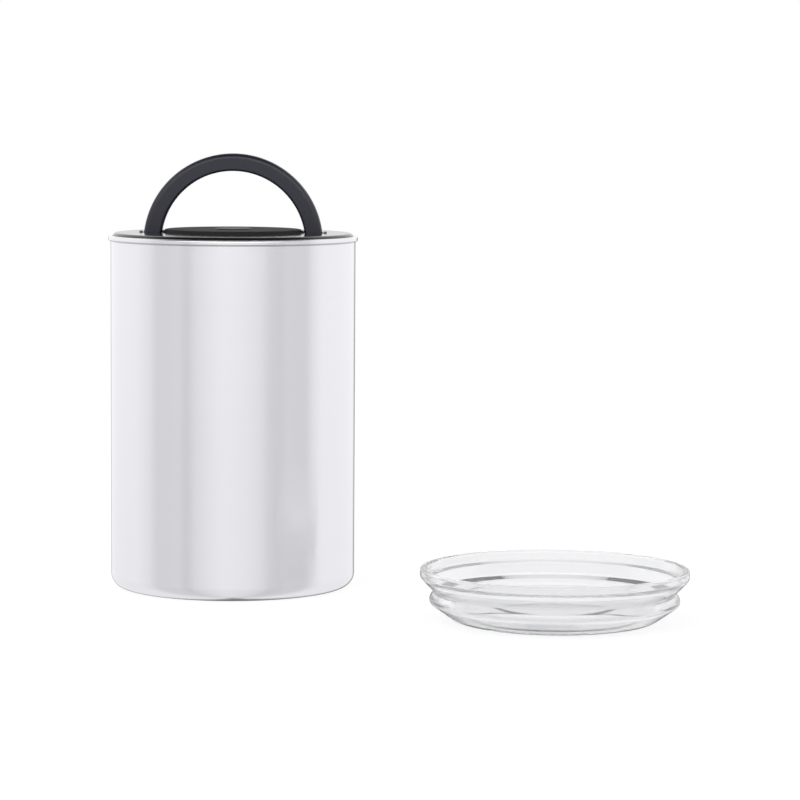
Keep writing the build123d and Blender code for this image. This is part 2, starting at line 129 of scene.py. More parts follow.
def extent(node: str) -> tuple[Vector, Vector]:
    """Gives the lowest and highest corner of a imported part, in millimetres."""
    low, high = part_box(node)
    return low / MM, high / MM


def joint_height(name: str) -> float:
    """Gives the height of a joint's axis, in millimetres."""
    joint = next(joint for joint in frame["joints"] if joint["name"] == name)
    return joint["pos_m"][2] / MM


@dataclass(frozen=True)
class Corner:
    """One corner of an outline, in millimetres.

    Rounding starts at the setback along both sides of the corner.
    """

    radius: float
    height: float
    setback: float = 0.0
    segments: int = 4


class Shape:
    """A solid while it is modelled, in millimetres."""

    def __init__(self) -> None:
        """Starts with nothing."""
        self.mesh = bmesh.new()

    @classmethod
    def of_node(cls, node: str) -> "Shape":
        """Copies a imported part.

        Args:
            node: Name of the part.

        Returns:
            The copy, with its loose triangles merged.
        """
        shape = cls()
        shape.mesh.from_mesh(frame["nodes"][node].data)
        bmesh.ops.scale(shape.mesh, vec=(1 / MM,) * 3, verts=shape.mesh.verts[:])
        shape.weld()
        return shape

    @classmethod
    def turned(
        cls, corners: Sequence[Corner], closed: bool = True, steps: int = STEPS
    ) -> "Shape":
        """Turns an outline about the Z axis.

        Args:
            corners: The outline, from the +X side.
            closed: Whether the last corner joins the first. Otherwise both lie on the axis.
            steps: Steps of the turn.

        Returns:
            The closed solid.
        """
        shape = cls()
        wire = shape.outline(corners, closed)
        bmesh.ops.spin(
            shape.mesh, geom=wire, cent=(0, 0, 0), axis=(0, 0, 1), angle=FULL_TURN, steps=steps,
            use_merge=True,
        )
        return shape.close()

    @classmethod
    def bar(cls, start: Vector, along: Vector, radius: float, steps: int = FINE_STEPS) -> "Shape":
        """Makes a round bar.

        Args:
            start: Middle of its first end.
            along: From its first end to its last.
            radius: Its radius.
            steps: Sides of its round.

        Returns:
            The bar.
        """
        shape = cls()
        turn = Vector((0, 0, 1)).rotation_difference(along).to_matrix().to_4x4()
        bmesh.ops.create_cone(
            shape.mesh, cap_ends=True, segments=steps, radius1=radius, radius2=radius,
            depth=along.length, matrix=Matrix.Translation(start + along / 2) @ turn,
        )
        return shape

    @classmethod
    def prism(cls, points: Sequence[tuple[float, float]], start: float, length: float) -> "Shape":
        """Makes a prism along X.

        Args:
            points: Its section as pairs of Y and Z.
            start: X of its first end.
            length: Its length along X.

        Returns:
            The prism.
        """
        shape = cls()
        face = shape.mesh.faces.new([shape.mesh.verts.new((start, y, z)) for y, z in points])
        grown = bmesh.ops.extrude_face_region(shape.mesh, geom=[face])["geom"]
        moved = [item for item in grown if isinstance(item, bmesh.types.BMVert)]
        bmesh.ops.translate(shape.mesh, verts=moved, vec=(length, 0, 0))
        return shape.close()

    def outline(self, corners: Sequence[Corner], closed: bool) -> list:
        """Lays a wire through corners in the XZ plane and rounds them.

        Args:
            corners: The corners, with X as radius.
            closed: Whether the last corner joins the first.

        Returns:
            The points and edges of the wire.
        """
        spots = [self.mesh.verts.new((corner.radius, 0, corner.height)) for corner in corners]
        for start, end in zip(spots, spots[1:] + spots[:1] if closed else spots[1:]):
            self.mesh.edges.new((start, end))
        for spot, corner in zip(spots, corners):
            if corner.setback > 0:
                bmesh.ops.bevel(
                    self.mesh, geom=[spot], offset=corner.setback, offset_type="OFFSET",
                    affect="VERTICES", segments=corner.segments, profile=0.5, material=-1,
                )
        return self.mesh.verts[:] + self.mesh.edges[:]

    def weld(self, gap: float = WELD) -> None:
        """Merges points within a gap."""
        bmesh.ops.remove_doubles(self.mesh, verts=self.mesh.verts[:], dist=gap)

    def close(self) -> "Shape":
        """Merges doubles, fills open ends and turns every face outwards."""
        self.weld()
        ends = [edge for edge in self.mesh.edges if edge.is_boundary]
        if ends:
            bmesh.ops.holes_fill(self.mesh, edges=ends)
        bmesh.ops.recalc_face_normals(self.mesh, faces=self.mesh.faces[:])
        return self

    def trim(self, point: Vector, outward: Vector) -> "Shape":
        """Cuts away what lies past a plane and closes the cut.

        Args:
            point: A point of the plane.
            outward: Direction of the part that goes.

        Returns:
            The same solid.
        """
        everything = self.mesh.verts[:] + self.mesh.edges[:] + self.mesh.faces[:]
        bmesh.ops.bisect_plane(
            self.mesh, geom=everything, dist=WELD, plane_co=point, plane_no=outward,
            clear_outer=True,
        )
        return self.close()

    def move(self, step: Vector) -> "Shape":
        """Moves the solid by a step."""
        bmesh.ops.translate(self.mesh, verts=self.mesh.verts[:], vec=step)
        return self

    def blend(self, other: "Shape", way: Blend) -> "Shape":
        """Joins another solid to this one, or cuts it out.

        Args:
            other: The other solid, which is used up.
            way: What it does to this one.

        Returns:
            The same solid.
        """
        target, tool = self.as_object("target"), other.as_object("tool")
        modifier = target.modifiers.new("blend", "BOOLEAN")
        modifier.operation = way.value
        modifier.solver = "EXACT"
        modifier.object = tool
        result = applied(target)
        self.mesh = bmesh.new()
        self.mesh.from_mesh(result)
        for thing in (target, tool):
            mesh = thing.data
            bpy.data.objects.remove(thing)
            bpy.data.meshes.remove(mesh)
        bpy.data.meshes.remove(result)
        self.weld()
        return self

    def join(self, other: "Shape") -> "Shape":
        """Joins another solid to this one."""
        return self.blend(other, Blend.JOIN)

    def cut(self, other: "Shape") -> "Shape":
        """Cuts another solid out of this one."""
        return self.blend(other, Blend.CUT)

    def as_object(self, name: str) -> bpy.types.Object:
        """Gives the solid to a linked object and frees the working copy."""
        mesh = bpy.data.meshes.new(name)
        self.mesh.to_mesh(mesh)
        self.mesh.free()
        thing = bpy.data.objects.new(name, mesh)
        bpy.context.scene.collection.objects.link(thing)
        return thing


def applied(thing: bpy.types.Object) -> bpy.types.Mesh:
    """Gives an object's mesh with its modifiers applied."""
    graph = bpy.context.evaluated_depsgraph_get()
    return bpy.data.meshes.new_from_object(
        thing.evaluated_get(graph), preserve_all_data_layers=True, depsgraph=graph
    )


@dataclass(frozen=True)
class Piece:
    """Name of a finished piece, the part that it stands for, its body and its slot."""

    name: str
    node: str
    body: Body
    slot: Slot

    def settle(self, shape: Shape, material: bpy.types.Material) -> bpy.types.Object:
        """Finishes a solid as this piece.

        Args:
            shape: The solid, in millimetres.
            material: Its finish.

        Returns:
            The finished object, in place.
        """
        bmesh.ops.scale(shape.mesh, vec=(MM,) * 3, verts=shape.mesh.verts[:])
        thing = shape.as_object(self.name)
        rough = thing.data
        rough.shade_smooth()
        rough.set_sharp_from_angle(angle=SHARP_ANGLE)
        normals = thing.modifiers.new("normals", "WEIGHTED_NORMAL")
        normals.keep_sharp = True
        finished = applied(thing)
        thing.modifiers.clear()
        thing.data = finished
        bpy.data.meshes.remove(rough)
        finished.name = self.name
        finished.materials.append(material)
        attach(thing, self.body.value)
        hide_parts(self.node)
        log.info("%s: %d faces on %s", self.name, len(finished.polygons), self.body.value)
        return thing

    def copy_node(self, material: bpy.types.Material) -> bpy.types.Object:
        """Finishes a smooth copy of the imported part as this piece."""
        return self.settle(Shape.of_node(self.node), material)


class Wire:
    """An output socket that can stand in a sum: each sum adds a Math node."""

    def __init__(self, paint: "Paint", socket: bpy.types.NodeSocket | None) -> None:
        """Keeps the socket and the paint that it belongs to."""
        self.paint = paint
        self.socket = socket

    def __add__(self, other: Any) -> "Wire":
        """Adds a wire or number."""
        return self.paint.maths("ADD", self, other)

    __radd__ = __add__

    def __sub__(self, other: Any) -> "Wire":
        """Takes a wire or number away."""
        return self.paint.maths("SUBTRACT", self, other)

    def __rsub__(self, other: Any) -> "Wire":
        """Takes this wire away from a number."""
        return self.paint.maths("SUBTRACT", other, self)

    def __mul__(self, other: Any) -> "Wire":
        """Multiplies by a wire or number."""
        return self.paint.maths("MULTIPLY", self, other)

    __rmul__ = __mul__

    def swing(self, reach: float) -> "Wire":
        """Swings a share of 0 to 1 evenly about 0, by a reach from end to end."""
        return reach * (self - 0.5)

    def between(self, low: float, high: float) -> "Wire":
        """Rises smoothly from 0 at low to 1 at high."""
        return self.paint.node(
            "ShaderNodeMapRange",
            {"interpolation_type": "SMOOTHSTEP"},
            {"Value": self, "From Min": low, "From Max": high},
        )


class Paint:
    """Builds the nodes of one material or world."""

    def __init__(self, owner: bpy.types.Material | bpy.types.World) -> None:
        """Clears the owner's nodes."""
        owner.use_nodes = True
        self.owner = owner
        self.tree = owner.node_tree
        self.tree.nodes.clear()

    def node(
        self,
        kind: str,
        settings: Mapping[str, Any] | None = None,
        sockets: Mapping[str | int, Any] | None = None,
        output: str | int = 0,
    ) -> Wire:
        """Adds a node.

        Args:
            kind: Its type.
            settings: Its own settings, and "stops" for the places and colours of a ramp.
            sockets: Values or wires of its inputs.
            output: The output that is wanted.

        Returns:
            That output, or an empty wire from a node that ends the tree.
        """
        made = self.tree.nodes.new(kind)
        for name, value in (settings or {}).items():
            if name == "stops":
                self.set_stops(made.color_ramp, value)
            else:
                setattr(made, name, value)
        for name, value in (sockets or {}).items():
            if isinstance(value, Wire):
                self.tree.links.new(value.socket, made.inputs[name])
            else:
                made.inputs[name].default_value = value
        return Wire(self, made.outputs[output] if made.outputs else None)

    @staticmethod
    def set_stops(ramp: bpy.types.ColorRamp, stops: Sequence[tuple[float, float]]) -> None:
        """Sets a ramp's stops.

        Args:
            ramp: The ramp.
            stops: Place and grey level of each stop, in order.
        """
        for _ in range(len(stops) - len(ramp.elements)):
            ramp.elements.new(1.0)
        for element, (place, level) in zip(ramp.elements, stops):
            element.position = place
            element.color = (level, level, level, 1.0)

    def maths(self, operation: str, first: Any, second: Any = 0.0) -> Wire:
        """Adds a Math node on two wires or numbers."""
        return self.node("ShaderNodeMath", {"operation": operation}, {0: first, 1: second})

    def place(self) -> Wire:
        """Gives the place on the object."""
        return self.node("ShaderNodeTexCoord", output="Object")

    def split(self, vector: Wire) -> tuple[Wire, Wire, Wire]:
        """Splits a vector into its three parts."""
        parts = self.node("ShaderNodeSeparateXYZ", sockets={0: vector}).socket.node
        return tuple(Wire(self, output) for output in parts.outputs)

    def stretched(self, vector: Wire, scale: Spot) -> Wire:
        """Stretches a vector by a scale."""
        return self.node(
            "ShaderNodeMapping", {"vector_type": "POINT"}, {"Vector": vector, "Scale": scale}
        )

    def noise(self, vector: Wire, scale: float, detail: float = 2.0) -> Wire:
        """Gives noise from 0 to 1 at a vector."""
        return self.node(
            "ShaderNodeTexNoise", sockets={"Vector": vector, "Scale": scale, "Detail": detail}
        )

    def colour(self, share: Wire, first: Colour, second: Colour) -> Wire:
        """Blends from a first colour to a second."""
        return self.node(
            "ShaderNodeMix", {"data_type": "RGBA"}, {0: share, 6: first, 7: second}, output=2
        )

    def bump(self, height: Wire, depth: float) -> Wire:
        """Gives normals that follow a height, where 1 is a depth in metres."""
        return self.node(
            "ShaderNodeBump", sockets={"Height": height, "Distance": depth, "Strength": 1.0}
        )

    def surface(self, sockets: Mapping[str, Any]) -> bpy.types.Material:
        """Ends the material with a principled surface.

        Args:
            sockets: Values or wires of its inputs.

        Returns:
            The material.
        """
        shader = self.node("ShaderNodeBsdfPrincipled", sockets=sockets)
        self.node("ShaderNodeOutputMaterial", sockets={"Surface": shader})
        return self.owner


@dataclass(frozen=True)
class BrushedSteel:
    """Satin stainless steel, brushed round the can, with painted shade under the hem."""

    tint: Colour = (0.865, 0.86, 0.895, 1.0)
    shade: Colour = (0.815, 0.81, 0.845, 1.0)
    # Painted shade: colour of a thin dark line just under the hem, between the heights below, in
    # metres.
    painted_hem_shade: Colour = (0.50, 0.50, 0.53, 1.0)
    hem_shade_low: float = 0.17705
    hem_shade_high: float = 0.17785
    hem_shade_blur: float = 0.0002
    roughness: float = 0.21
    roughness_swing: float = 0.04
    anisotropy: float = 0.8
    brush_turn: float = 0.25
    grain_round: float = 25.0
    grain_up: float = 1250.0
    grain_detail: float = 3.0
    grain_share: float = 0.6
    grain_depth: float = 0.000002
    cloud_scale: float = 9.0
    cloud_share: float = 0.4

    def make(self) -> bpy.types.Material:
        """Makes the material."""
        paint = Paint(bpy.data.materials.new("brushed_steel"))
        place = paint.place()
        stretch = (self.grain_round, self.grain_round, self.grain_up)
        grain = paint.noise(paint.stretched(place, stretch), 1.0, self.grain_detail)
        cloud = paint.noise(place, self.cloud_scale)
        share = grain * self.grain_share + cloud * self.cloud_share
        _, _, height = paint.split(place)
        # Painted shade: a thin dark band of base colour at the foot of the hem, standing in for
        # its shadow.
        low, high, blur = self.hem_shade_low, self.hem_shade_high, self.hem_shade_blur
        painted_hem_shade = height.between(low - blur, low) * (1.0 - height.between(high, high + blur))
        return paint.surface({
            "Base Color": paint.colour(
                painted_hem_shade, paint.colour(share, self.shade, self.tint), self.painted_hem_shade
            ),
            "Metallic": 1.0,
            "Roughness": self.roughness + grain.swing(self.roughness_swing),
            "Anisotropic": self.anisotropy,
            "Anisotropic Rotation": self.brush_turn,
            "Normal": paint.bump(grain, self.grain_depth),
        })


@dataclass(frozen=True)
class BlackMoulding:
    """Black moulded plastic, glossy on the ring and matte inside it."""

    base: Colour = (0.006, 0.006, 0.007, 1.0)
    worn: Colour = (0.010, 0.010, 0.012, 1.0)
    matte_radius: float = 0.0357
    matte_blur: float = 0.0003
    gloss: float = 0.12
    matte: float = 0.8
    roughness_swing: float = 0.05
    ior: float = 1.5
    texture_scale: float = 2600.0
    texture_depth: float = 0.000012
    cloud_scale: float = 60.0

    def make(self) -> bpy.types.Material:
        """Makes the material."""
        paint = Paint(bpy.data.materials.new("black_moulding"))
        place = paint.place()
        x, y, _ = paint.split(place)
        reach = paint.maths("SQRT", x * x + y * y)
        edge, blur = self.matte_radius, self.matte_blur
        inside = 1.0 - reach.between(edge - blur, edge + blur)
        roughness = self.gloss + inside * (self.matte - self.gloss)
        texture = paint.noise(place, self.texture_scale)
        cloud = paint.noise(place, self.cloud_scale)
        return paint.surface({
            "Base Color": paint.colour(cloud, self.base, self.worn),
            "Roughness": roughness + cloud.swing(self.roughness_swing),
            "IOR": self.ior,
            "Normal": paint.bump(texture * inside, self.texture_depth),
        })


@dataclass(frozen=True)
class MattPlastic:
    """Fine-textured plastic of one colour."""

    name: str
    base: Colour
    worn: Colour
    roughness: float = 0.46
    roughness_swing: float = 0.08
    ior: float = 1.5
    texture_scale: float = 2300.0
    texture_depth: float = 0.00001
    cloud_scale: float = 45.0

    def make(self) -> bpy.types.Material:
        """Makes the material."""
        paint = Paint(bpy.data.materials.new(self.name))
        place = paint.place()
        texture = paint.noise(place, self.texture_scale)
        cloud = paint.noise(place, self.cloud_scale)
        return paint.surface({
            "Base Color": paint.colour(cloud, self.base, self.worn),
            "Roughness": self.roughness + cloud.swing(self.roughness_swing),
            "IOR": self.ior,
            "Normal": paint.bump(texture, self.texture_depth),
        })


LID_PLASTIC = MattPlastic(
    "lid_plastic", (0.014, 0.014, 0.016, 1.0), (0.022, 0.022, 0.025, 1.0)
)
GASKET_SILICONE = MattPlastic(
    "gasket_silicone", (0.045, 0.045, 0.05, 1.0), (0.06, 0.06, 0.066, 1.0), roughness=0.6
)
WHITE_ACETAL = MattPlastic(
    "white_acetal", (0.74, 0.74, 0.71, 1.0), (0.8, 0.8, 0.78, 1.0), roughness=0.35
)
STEM_PLASTIC = MattPlastic(
    "stem_plastic", (0.66, 0.66, 0.64, 1.0), (0.74, 0.74, 0.71, 1.0), roughness=0.35
)
WASHER_SILICONE = MattPlastic(
    "washer_silicone", (0.5, 0.5, 0.5, 1.0), (0.58, 0.58, 0.58, 1.0), roughness=0.6
)
HANDLE_PLASTIC = MattPlastic(
    "handle_plastic",
    (0.008, 0.0085, 0.018, 1.0),
    (0.013, 0.0135, 0.026, 1.0),
    roughness=0.38,
    ior=1.52,
)


@dataclass(frozen=True)
class ClearPlastic:
    """Clear moulded plastic with the faint ripple of a moulding."""

    tint: Colour = (0.968, 0.968, 0.982, 1.0)
    clearness: float = 0.88
    roughness: float = 0.02
    roughness_swing: float = 0.02
    ior: float = 1.49
    ripple_scale: float = 42.0
    ripple_detail: float = 1.0
    ripple_depth: float = 0.00012

    def make(self) -> bpy.types.Material:
        """Makes the material."""
        paint = Paint(bpy.data.materials.new("clear_plastic"))
        ripple = paint.noise(paint.place(), self.ripple_scale, self.ripple_detail)
        return paint.surface({
            "Base Color": self.tint,
            "Roughness": self.roughness + self.roughness_swing * ripple,
            "IOR": self.ior,
            "Transmission Weight": self.clearness,
            "Normal": paint.bump(ripple, self.ripple_depth),
        })


@dataclass(frozen=True)
class BrightSteel:
    """Turned or drawn stainless steel of the small parts."""

    tint: Colour = (0.80, 0.80, 0.82, 1.0)
    shade: Colour = (0.66, 0.66, 0.69, 1.0)
    roughness: float = 0.22
    roughness_swing: float = 0.12
    mark_scale: float = 900.0

    def make(self) -> bpy.types.Material:
        """Makes the material."""
        paint = Paint(bpy.data.materials.new("bright_steel"))
        marks = paint.noise(paint.place(), self.mark_scale)
        return paint.surface({
            "Base Color": paint.colour(marks, self.shade, self.tint),
            "Metallic": 1.0,
            "Roughness": self.roughness + marks.swing(self.roughness_swing),
        })


@dataclass
class SteelCan:
    """Drawn steel can with a hemmed rim."""

    wall: float = 0.6
    hem_proud: float = 1.2
    hem_depth: float = 2.6
    hem_edge: float = 0.55
    roll_share: float = 0.49
    roll_segments: int = 8
    crevice_width: float = 0.22
    crevice_depth: float = 0.9
    corner: float = 7.0
    corner_segments: int = 18
    bead_inset: float = 16.4
    bead_width: float = 5.0
    bead_height: float = 1.3
    bead_edge: float = 1.2

    def floor(self, radius: float, height: float, corner: float) -> list[Corner]:
        """Gives the pressed base from the axis out to the wall.

        Args:
            radius: Radius of the wall on this side.
            height: Height of this side of the base.
            corner: Radius of the corner on this side.

        Returns:
            Corners of the base.
        """
        bead = radius - self.bead_inset
        half = self.bead_width / 2
        return [
            Corner(0, height),
            Corner(bead - half, height, self.bead_edge),
            Corner(bead, height + self.bead_height, self.bead_edge),
            Corner(bead + half, height, self.bead_edge),
            Corner(radius, height, corner, self.corner_segments),
        ]

    def shell(self) -> Shape:
        """Turns the can from its outline."""
        _, high = extent("canister_body")
        rim, top = high.x, high.z
        outside = rim - self.hem_proud
        mouth = outside - self.wall
        foot = top - self.hem_depth
        roll = self.roll_share * (rim - mouth)
        behind = outside + self.crevice_width
        up = [
            Corner(outside, foot + self.crevice_depth),
            Corner(behind, foot + self.crevice_depth),
            Corner(behind, foot, self.crevice_width / 2, segments=2),
            Corner(rim, foot, self.hem_edge),
            Corner(rim, top, roll, self.roll_segments),
            Corner(mouth, top, roll, self.roll_segments),
        ]
        inside = self.floor(mouth, self.wall, self.corner - self.wall)
        return Shape.turned(self.floor(outside, 0, self.corner) + up + inside[::-1], closed=False)

    def build(self) -> None:
        """Builds and dresses the can."""
        piece = Piece("can_shell", "canister_body", Body.CANISTER, Slot.STEEL)
        piece.settle(self.shell(), BrushedSteel().make())


@dataclass
class InnerLid:
    """Black inner lid: moulded cover, centre cap, bottom plate, gasket and hidden hardware."""

    wall: float = 2.0
    wall_edge: float = 1.0
    edge_run: float = 1.3
    rim_height: float = 180.0
    rim_edge: float = 0.3
    ring_edge: float = 0.9
    skirt_lap: float = 4.0
    small_edge: float = 0.2
    plateau_rise: float = 1.8
    plateau_draft: float = 0.3
    plateau_edge: float = 0.6
    plateau_root: float = 0.25
    plateau_land: float = 1.3
    cap_gap: float = 0.1
    cap_sink: float = 1.0
    cap_proud: float = 0.5
    cap_edge: float = 0.3
    stud_radius: float = 2.0
    stud_length: float = 3.5
    stud_edge: float = 0.4
    handle_inset: float = 14.35
    handle_width: float = 8.9
    gap_in: float = 0.9
    gap_out: float = 0.6
    channel_floor: float = 170.5
    channel_front: float = 5.73
    channel_edge: float = 0.9
    trough_wall: float = 1.8
    scoop_radius: float = 11.0
    scoop_inset: float = 4.0
    lug_radius: float = 6.4
    lug_lap: float = 0.5
    ear_width: float = 1.3
    cheek_width: float = 2.6
    boss_radius: float = 3.4
    boss_length: float = 3.0
    pin_bore: float = 1.65
    stem_hole: float = 2.1
    post_inset: float = 8.2
    post_radius: float = 3.4
    post_bore: float = 1.45
    post_depth: float = 9.1
    post_count: int = 4
    post_turn: float = 0.5
    gasket_inset: float = 0.5
    gasket_bore: float = 57.8
    lip_start: float = 0.9
    lip_pitch: float = 3.5
    lip_root: float = 1.8
    lip_rise: float = 0.9
    lip_tip: float = 0.6
    lip_edge: float = 0.2
    lip_foot: float = 0.3
    lip_back: float = 0.1

    def __post_init__(self) -> None:
        """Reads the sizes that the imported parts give."""
        low, high = extent("lid_cover")
        _, plate = extent("lid_base")
        self.plate_rim = plate.x
        self.skirt, self.skirt_end = high.x, plate.z - self.skirt_lap
        self.plateau_top = high.z
        self.post_foot = low.z
        self.pivot = joint_height("handle_fold")
        self.ring_top = self.plateau_top - self.plateau_rise
        self.ring = self.skirt - self.edge_run
        handle_outer = self.ring - self.handle_inset
        self.leg = handle_outer - self.handle_width / 2
        self.channel_in = handle_outer - self.handle_width - self.gap_in
        self.channel_out = handle_outer + self.gap_out
        self.cap_radius = extent("centre_cap")[1].x

    def shell(self) -> Shape:
        """Turns the cover's shell, open in the middle for the cap's stud."""
        inside = self.skirt - self.wall
        plateau = self.channel_in - self.plateau_land
        seat = self.plateau_top - self.cap_sink
        stud = self.stud_radius + self.cap_gap
        recess = self.cap_radius + self.cap_gap
        under = self.plateau_top - self.wall
        return Shape.turned([
            Corner(stud, under),
            Corner(stud, seat),
            Corner(recess, seat),
            Corner(recess, self.plateau_top, self.small_edge, segments=3),
            Corner(plateau, self.plateau_top, self.plateau_edge),
            Corner(plateau + self.plateau_draft, self.ring_top, self.plateau_root, segments=3),
            Corner(self.ring, self.ring_top, self.ring_edge),
            Corner(self.skirt, self.rim_height, self.rim_edge, segments=3),
            Corner(self.skirt, self.skirt_end, self.small_edge, segments=2),
            Corner(inside, self.skirt_end),
            Corner(inside, self.ring_top - self.wall, self.wall_edge, segments=3),
            Corner(plateau - self.wall, self.ring_top - self.wall),
            Corner(plateau - self.wall, under),
        ])

    def channel(self, grow: float, low: float, high: float) -> Shape:
        """Makes the space of the handle's channel, with its finger scoop.

        Args:
            grow: How much wider than the channel it is, all round.
            low: Height of its underside.
            high: Height of its top.

        Returns:
            The solid space.
        """
        inner, outer = self.channel_in - grow, self.channel_out + grow
        ring = Shape.turned([
            Corner(inner, low, self.channel_edge, segments=3),
            Corner(outer, low, self.channel_edge, segments=3),
            Corner(outer, high),
            Corner(inner, high),
        ])
        ring.trim(Vector((0, -self.channel_front - grow, 0)), Vector((0, -1, 0)))
        up = Vector((0, 0, high - low))
        middle = Vector((0, self.channel_out - self.scoop_inset, low))
        scoop = Shape.bar(middle, up, self.scoop_radius + grow, FINE_STEPS * 2)
        under = Vector((0, 0, low - OVERRUN))
        core = Shape.bar(under, up + Vector((0, 0, 2 * OVERRUN)), inner, STEPS)
        return ring.join(scoop.cut(core))

    def lugs(self) -> list[Shape]:
        """Gives the ears, cheeks and pin bosses on both sides, before the channel is cut."""
        start = math.sqrt(self.channel_out**2 - self.lug_radius**2) - self.lug_lap
        root = self.trough_wall / 2
        reach = self.trough_wall - root + self.boss_length
        ear = self.channel_out + self.ear_width - start
        cheek = self.channel_in + self.lug_lap
        spans = (
            (start, ear, self.lug_radius, STEPS // 2),
            (cheek, -self.cheek_width - self.lug_lap, self.lug_radius, STEPS // 2),
            (self.channel_out + root, reach, self.boss_radius, FINE_STEPS),
            (self.channel_in - root, -reach, self.boss_radius, FINE_STEPS),
        )
        made = []
        for side in Side:
            for inner, length, radius, steps in spans:
                foot = Vector((side * inner, 0, self.pivot))
                made.append(Shape.bar(foot, Vector((side * length, 0, 0)), radius, steps))
        return made

    def posts(self, radius: float, foot: float, top: float) -> list[Shape]:
        """Gives bars at the four screw posts between two heights."""
        circle = self.channel_in - self.trough_wall - self.post_inset
        step = FULL_TURN / self.post_count
        turns = [step * (index + self.post_turn) for index in range(self.post_count)]
        up = Vector((0, 0, top - foot))
        return [
            Shape.bar(Vector((circle * math.cos(turn), circle * math.sin(turn), foot)), up, radius)
            for turn in turns
        ]

    def cover(self) -> Shape:
        """Makes the moulded cover with its channel, pivots and posts."""
        cover = self.shell()
        trough = self.channel(
            self.trough_wall, self.channel_floor - self.trough_wall, self.ring_top - self.wall / 2
        )
        cover.join(trough)
        for lug in self.lugs():
            cover.join(lug)
        for post in self.posts(self.post_radius, self.post_foot, self.plateau_top - self.wall / 2):
            cover.join(post)
        cover.cut(self.channel(0, self.channel_floor, self.plateau_top + OVERRUN))
        hole_top = self.post_foot + self.post_depth
        for hole in self.posts(self.post_bore, self.post_foot - OVERRUN, hole_top):
            cover.cut(hole)
        for side, node in ((Side.LEFT, "pivot_pin_left"), (Side.RIGHT, "pivot_pin_right")):
            low, high = extent(node)
            ends = (low.x, high.x) if side is Side.RIGHT else (high.x, low.x)
            start = Vector((ends[0] - side * OVERRUN, 0, self.pivot))
            cover.cut(Shape.bar(start, Vector((ends[1] - start.x, 0, 0)), self.pin_bore))
        foot = Vector((-self.leg, 0, self.channel_floor - self.trough_wall - OVERRUN))
        cover.cut(Shape.bar(foot, Vector((0, 0, self.trough_wall + 2 * OVERRUN)), self.stem_hole))
        return cover

    def cap(self) -> Shape:
        """Turns the centre cap with its stud."""
        top = self.plateau_top + self.cap_proud
        seat = self.plateau_top - self.cap_sink
        return Shape.turned([
            Corner(0, top),
            Corner(self.cap_radius, top, self.cap_edge, segments=5),
            Corner(self.cap_radius, seat),
            Corner(self.stud_radius, seat),
            Corner(self.stud_radius, seat - self.stud_length, self.stud_edge),
            Corner(0, seat - self.stud_length),
        ], closed=False, steps=STEPS // 2)

    def gasket(self) -> Shape:
        """Turns the soft ring with its two wiping lips."""
        low, high = extent("wiper_gasket")
        reach = high.x
        body = self.plate_rim - self.gasket_inset
        outline = [
            Corner(self.gasket_bore, low.z),
            Corner(body, low.z, self.small_edge, segments=2),
        ]
        for lip in (0, 1):
            root = low.z + self.lip_start + lip * self.lip_pitch
            outline += [
                Corner(body, root, self.lip_foot, segments=3),
                Corner(reach, root + self.lip_rise, self.lip_edge),
                Corner(reach, root + self.lip_rise + self.lip_tip, self.lip_edge),
                Corner(
                    body, root + self.lip_root + self.lip_back, self.small_edge, segments=3
                ),
            ]
        outline += [
            Corner(body, high.z, self.small_edge, segments=2),
            Corner(self.gasket_bore, high.z),
        ]
        return Shape.turned(outline)

    def build(self) -> None:
        """Builds and dresses the inner lid."""
        black = BlackMoulding().make()
        steel = BrightSteel().make()
        dark = LID_PLASTIC.make()
        soft = GASKET_SILICONE.make()
        acetal = WHITE_ACETAL.make()
        lid = Body.INNER_LID
        Piece("cover_moulding", "lid_cover", lid, Slot.MOULDING).settle(self.cover(), black)
        Piece("cap_disc", "centre_cap", lid, Slot.MOULDING).settle(self.cap(), dark)
        Piece("gasket_ring", "wiper_gasket", lid, Slot.GASKET).settle(self.gasket(), soft)
        for name, node, slot, finish in (
            ("bottom_plate", "lid_base", Slot.MOULDING, dark),
            ("left_pin", "pivot_pin_left", Slot.HARDWARE, steel),
            ("right_pin", "pivot_pin_right", Slot.HARDWARE, steel),
            ("guide_bush", "valve_guide", Slot.GUIDE, acetal),
            ("closing_spring", "valve_spring", Slot.HARDWARE, steel),
            ("plate_screws", "base_screws", Slot.HARDWARE, steel),
        ):
            Piece(name, node, lid, slot).copy_node(finish)


@dataclass
class AirValve:
    """Stem, washer and clip that move with the handle."""

    def build(self) -> None:
        """Dresses the valve's parts."""
        valve = Body.VALVE
        Piece("stem_and_head", "valve_stem", valve, Slot.GUIDE).copy_node(STEM_PLASTIC.make())
        Piece("seat_washer", "valve_washer", valve, Slot.WASHER).copy_node(WASHER_SILICONE.make())
        Piece("stem_clip", "spring_clip", valve, Slot.HARDWARE).copy_node(BrightSteel().make())


